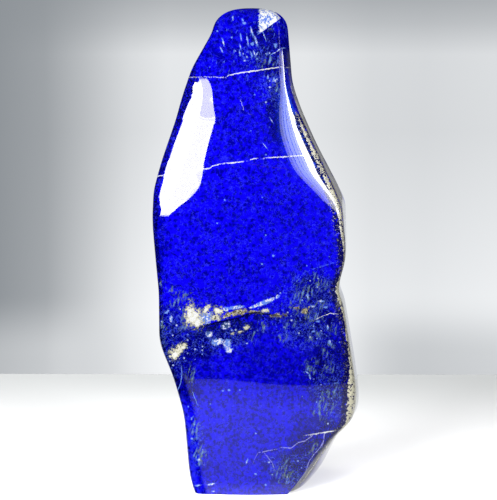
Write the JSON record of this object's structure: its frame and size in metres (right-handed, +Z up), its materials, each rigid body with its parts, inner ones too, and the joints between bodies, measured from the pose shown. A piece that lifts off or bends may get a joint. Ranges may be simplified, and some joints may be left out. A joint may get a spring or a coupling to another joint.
{
  "type": "polished lapis lazuli free-form",
  "caption": "Tall upright free-form of deep blue lapis lazuli with white veins and a golden-cream seam, polished all over and cut flat underneath to stand on a shelf.",
  "frame": {"origin": "middle of the object's box at the level of its cut base", "axes": "+Z up along the stone's height, -Y towards the viewer in front of the broad polished face, +X to that viewer's right"},
  "size_m": [0.1038, 0.056, 0.2399],
  "materials": {
    "lapis": "high polish, mottled ultramarine with white veins, a golden-cream seam and cream matrix at one edge"
  },
  "bodies": {
    "root": {"stone": "lapis"}
  },
  "joints": []
}
